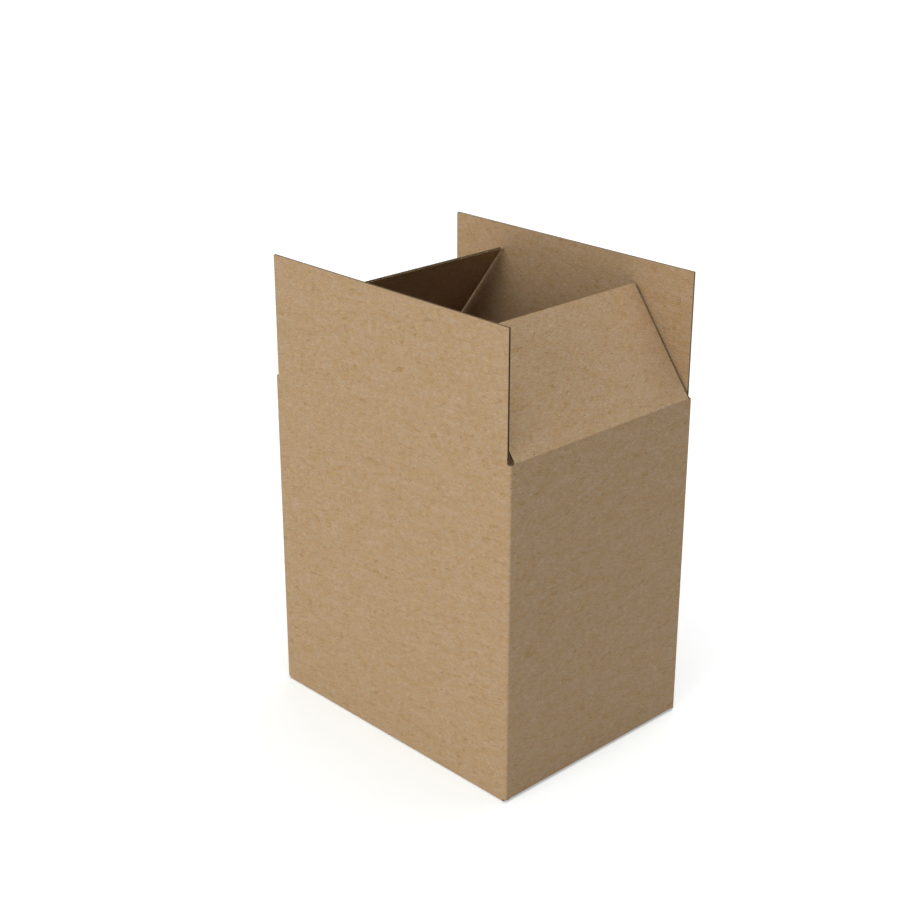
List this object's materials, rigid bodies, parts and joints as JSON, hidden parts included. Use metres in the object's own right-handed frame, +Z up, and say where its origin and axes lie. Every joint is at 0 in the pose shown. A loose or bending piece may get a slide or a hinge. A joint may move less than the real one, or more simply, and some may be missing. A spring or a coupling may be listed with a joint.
{
  "type": "open cardboard box",
  "caption": "Tall open kraft carton of fluted board: closed glued bottom, upright long top flaps, short end flaps leaning inwards, each flap hinged at its crease.",
  "frame": {"origin": "middle of the underside, on the surface that the box stands on", "axes": "+Z up, X along the long panels, Y along the short panels; the front is -Y and the glued corner is at -X +Y"},
  "size_m": [0.45, 0.34, 0.6425],
  "materials": {
    "kraft_board": "matte"
  },
  "bodies": {
    "box": {"box_body": "kraft_board"},
    "front": {"front_flap": "kraft_board"},
    "back": {"back_flap": "kraft_board"},
    "left": {"left_flap": "kraft_board"},
    "right": {"right_flap": "kraft_board"}
  },
  "joints": [
    {"name": "front_flap_hinge", "type": "hinge", "parent": "box", "child": "front", "pos_m": [0, -0.17015, 0.473], "axis": [1, 0, 0], "range_deg": [-1.5, 180]},
    {"name": "back_flap_hinge", "type": "hinge", "parent": "box", "child": "back", "pos_m": [0, 0.17015, 0.473], "axis": [-1, 0, 0], "range_deg": [-1.5, 180]},
    {"name": "right_flap_hinge", "type": "hinge", "parent": "box", "child": "right", "pos_m": [0.22515, 0, 0.473], "axis": [0, 1, 0], "range_deg": [-53.7, 216.3]},
    {"name": "left_flap_hinge", "type": "hinge", "parent": "box", "child": "left", "pos_m": [-0.22515, 0, 0.473], "axis": [0, -1, 0], "range_deg": [-53.7, 216.3]}
  ]
}
